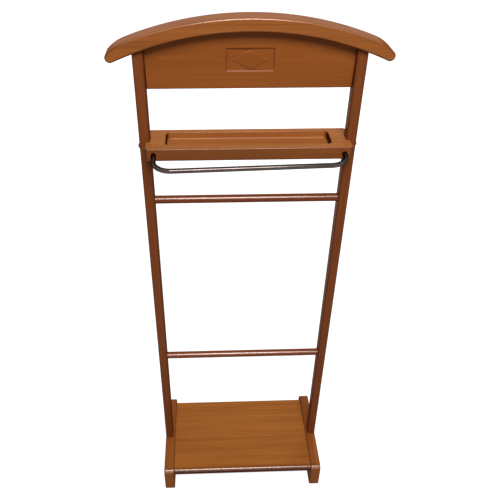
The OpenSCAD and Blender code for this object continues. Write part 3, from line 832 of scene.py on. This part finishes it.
def trouser_bar():
    """One rod, bent round at both ends of its front run, with chamfered legs in the tray."""
    chamfer = 1 * MM
    inner = BAR_LEG_X - BAR_BEND
    turns = [math.radians(90 * k / 14) for k in range(15)]
    path = [bar_place(-BAR_LEG_X, BAR_GRIP - step, 0) for step in (0, chamfer)]
    for t in turns:
        path.append(bar_place(-inner - BAR_BEND * math.cos(t), BAR_BEND * (1 - math.sin(t)) - BAR_REACH, 0))
    for t in turns:
        path.append(bar_place(inner + BAR_BEND * math.sin(t), BAR_BEND * (1 - math.cos(t)) - BAR_REACH, 0))
    path += [bar_place(BAR_LEG_X, BAR_GRIP - step, 0) for step in (chamfer, 0)]
    up = (bar_place(0, 0, 1) - bar_place(0, 0, 0)).normalized()
    steel = metal("bronzed_rod", rgb(68, 60, 56), rgb(84, 75, 71), "X", rough=0.15, drawn=0.0, patina=0.0,
                  rim=(0.2, 0.18, 0.17, 1.0))
    piece("bent_trouser_rod", tube(path, BAR_RADIUS, up), steel, "trouser_bar")


# ---------- fixings ----------

def domed_bolts():
    """Two bolts with domed heads on the uprights' outer faces, each with a hexagon socket."""
    low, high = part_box("tray_bolts")
    radius, rise = 5.5 * MM, 3.5 * MM
    shank, length = 3 * MM, 30 * MM
    socket_radius, socket_depth = 2.3 * MM, 2 * MM
    ball = (radius ** 2 + rise ** 2) / (2 * rise)
    sweep = math.asin(radius / ball)
    turns = [sweep * k / 10 for k in range(9, 0, -1)]
    dome = [(ball * math.sin(t), rise - ball + ball * math.cos(t)) for t in turns]
    profile = [(0, -length), (shank, -length), (shank, 0), (radius, 0), *dome, (0, rise)]
    y, z = (low.y + high.y) / 2, (low.z + high.z) / 2
    heads, sockets = [], []
    for sign in (-1, 1):
        heads.append(lathe(profile, axes_at((sign * (high.x - rise), y, z), (sign, 0, 0)), 40))
        sockets.append(hole((sign * high.x, y, z), (-sign, 0, 0), socket_radius, socket_depth, sides=6))
    steel = metal("bronzed_bolt", rgb(66, 58, 50), rgb(92, 80, 70), "X", rough=0.3)
    piece("domed_tray_bolts", join(heads), steel, "tray_bolts", holes=sockets)


def shelf_screws():
    """Four countersunk screws with cross recesses."""
    length, taper, head_depth, face = 50 * MM, 4 * MM, 2 * MM, 0.05 * MM
    point, shank, head, chamfer = 1.2 * MM, 2.5 * MM, 4.4 * MM, 0.2 * MM
    profile = [(0, length), (point, length), (shank, length - taper), (shank, head_depth),
               (head, face + chamfer), (head - chamfer, face), (0, face)]
    screws, slots = [], []
    for mouth in screw_places():
        sign = 1 if mouth.x > 0 else -1
        screws.append(lathe(profile, axes_at(mouth, (-sign, 0, 0)), 32))
        slots += [cross_slot(mouth, sign, turn) for turn in (30, 120)]
    zinc = metal("zinc_screw", rgb(150, 148, 142), rgb(188, 186, 178), "X", rough=0.34)
    piece("shelf_fixing_screws", join(screws), zinc, "shelf_screws", holes=slots)


def cross_slot(mouth, sign, turn):
    """One arm of a cross recess, as a cutter that narrows inward. Its own sizes are in millimetres."""
    bm = new_mesh()
    angle = math.radians(turn)
    long, wide = Vector((math.cos(angle), math.sin(angle))), Vector((-math.sin(angle), math.cos(angle)))
    before, mouth_size, floor_size = (-1, 2.5, 0.5), (0, 2.4, 0.5), (1.6, 0.9, 0.3)
    rings = []
    for level, half_long, half_wide in (before, mouth_size, floor_size):
        corners = [long * a * half_long + wide * b * half_wide for a, b in CORNERS]
        rings.append([bm.verts.new(mouth + Vector((-sign * level, c.x, c.y)) * MM) for c in corners])
    bridge(bm, rings)
    close_ends(bm, rings)
    return bm


def foot_glides():
    """Four round glides, each with a nail up into its runner."""
    low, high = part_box("foot_glides")
    radius, thick = 8 * MM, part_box("runner_left")[0].z - low.z
    nail, chamfer = 2 * MM, 0.5 * MM
    profile = [(0, 0), (radius - chamfer, 0), (radius, chamfer), (radius, thick), (nail, thick),
               (nail, high.z - chamfer), (nail - chamfer, high.z), (0, high.z)]
    discs = []
    for x in (low.x + radius, high.x - radius):
        for y in (low.y + radius, high.y - radius):
            discs.append(lathe(profile, axes_at((x, y, 0), (0, 0, 1)), 40))
    black = plastic("glide_plastic", rgb(46, 42, 39))
    piece("foot_glide_discs", join(discs), black, "foot_glides")


def inner_fixings():
    """Dowels, nuts, inserts and bolts keep their CAD shape and take their materials."""
    zinc = metal("zinc_fixing", rgb(146, 144, 138), rgb(184, 182, 174), "Z", rough=0.36)
    brass = metal("turned_brass", rgb(150, 118, 60), rgb(196, 158, 88), "Z", rough=0.3)
    upright_beech = raw_beech("upright_dowel_beech", "Z", 1.0)
    cross_beech = raw_beech("cross_dowel_beech", "X", 2.0)
    looks = {"shoulder_dowels": upright_beech, "crest_top_dowels": upright_beech,
             "upright_dowels": upright_beech, "crest_side_dowels": cross_beech, "shelf_dowels": cross_beech,
             "barrel_nuts": zinc, "runner_bolts": zinc, "upright_inserts": brass}
    for node, material in looks.items():
        NODES[node].data.materials.clear()
        NODES[node].data.materials.append(material)


shoulder_rail()
crest_panel()
crest_plaque()
post("left", seed=3.3)
post("right", seed=4.1)
tray()
trouser_bar()
round_rail("upper_rail", seed=5.9)
round_rail("lower_rail", seed=11.3)
shoe_shelf()
runner("left", seed=8.2)
runner("right", seed=9.6)
domed_bolts()
shelf_screws()
foot_glides()
inner_fixings()


# ---------- floor, light and camera ----------

def pale_floor():
    """A wide pale disc. The camera and mirrors see part of its light as a glow, so its shadows stay soft."""
    bm = bmesh.new()
    bmesh.ops.create_circle(bm, cap_ends=True, segments=96, radius=9.0)
    floor = new_object("floor", bm)
    s = Shader("pale_floor")
    speckle = s.noise(s.stretched(3))
    s.set(Base_Color=s.mix(speckle, (0.42, 0.42, 0.42, 1), (0.46, 0.46, 0.46, 1)), Roughness=0.9,
          Specular_IOR_Level=0.0)
    place = s.node("TexCoord").outputs["Object"]
    away = s.node("VectorMath", {0: place}, operation="LENGTH").outputs["Value"]
    glow = s.node("Emission", {"Color": (1, 1, 1, 1),
                               "Strength": s.between(away, GLOW_NEAR, GLOW_FAR, FLOOR_GLOW, 1.0)})
    dark = s.node("Emission", {"Strength": 0.0})
    shown = s.node("MixShader", {0: s.seen_directly(), 1: dark.outputs[0], 2: glow.outputs[0]})
    both = s.node("AddShader", {0: s.surface.outputs[0], 1: shown.outputs[0]})
    s.feed(s.tree.nodes["Material Output"].inputs["Surface"], both.outputs[0])
    floor.data.materials.append(s.material)


def white_world():
    """White to the camera, mirrors and glass, and a soft grey light on the object."""
    world = bpy.data.worlds.new("studio")
    n = Nodes(world)
    n.tree.nodes.clear()
    strength = n.between(n.seen_directly(), 0.0, 1.0, AMBIENT, 1.0)
    background = n.node("Background", {"Color": (1, 1, 1, 1), "Strength": strength})
    n.node("OutputWorld", {"Surface": background.outputs[0]})
    bpy.context.scene.world = world


def softbox(name, azimuth, elevation, distance, size, power, glints=True):
    """A rectangular lamp aimed at the stand's upper half. Azimuth 0 is in front, positive to the right."""
    target = Vector((0, 0, 0.75))
    a, e = math.radians(azimuth), math.radians(elevation)
    away = Vector((math.sin(a) * math.cos(e), -math.cos(a) * math.cos(e), math.sin(e)))
    lamp = bpy.data.lights.new(name, "AREA")
    lamp.shape = "RECTANGLE"
    lamp.size, lamp.size_y = size
    lamp.energy = power
    obj = bpy.data.objects.new(name, lamp)
    obj.location = target + away * distance
    obj.rotation_euler = away.to_track_quat("Z", "Y").to_euler()
    obj.visible_glossy = glints
    bpy.context.scene.collection.objects.link(obj)


def photo_camera():
    """The photograph's viewpoint, solved from the stand's straight edges. The image is 500 by 500 pixels."""
    place = Vector((-70.12, -935.66, 1311.76)) * MM
    yaw, pitch, roll = 0.0419, 0.6318, 0.0069
    focal_px, centre_px, image_px, sensor = 593.03, (229.31, 251.82), 500, 36.0
    data = bpy.data.cameras.new("photo_camera")
    data.sensor_width = sensor
    data.lens = focal_px * sensor / image_px
    data.shift_x = (image_px / 2 - centre_px[0]) / image_px
    data.shift_y = (centre_px[1] - image_px / 2) / image_px
    data.clip_start = 0.01
    camera = bpy.data.objects.new("photo_camera", data)
    tilt = Matrix.Rotation(math.pi / 2 - pitch, 4, "X") @ Matrix.Rotation(roll, 4, "Z")
    camera.matrix_world = Matrix.Translation(place) @ Matrix.Rotation(-yaw, 4, "Z") @ tilt
    bpy.context.scene.collection.objects.link(camera)
    bpy.context.scene.camera = camera


photo_camera()
pale_floor()
white_world()
softbox("front_window", azimuth=3, elevation=51, distance=2.6, size=(0.95, 1.0), power=60)
softbox("rear_fill", azimuth=155, elevation=8, distance=2.8, size=(1.6, 1.0), power=30, glints=False)
softbox("side_fill", azimuth=-120, elevation=8, distance=2.8, size=(1.6, 1.0), power=10, glints=False)
bpy.context.scene.view_settings.view_transform = "Standard"
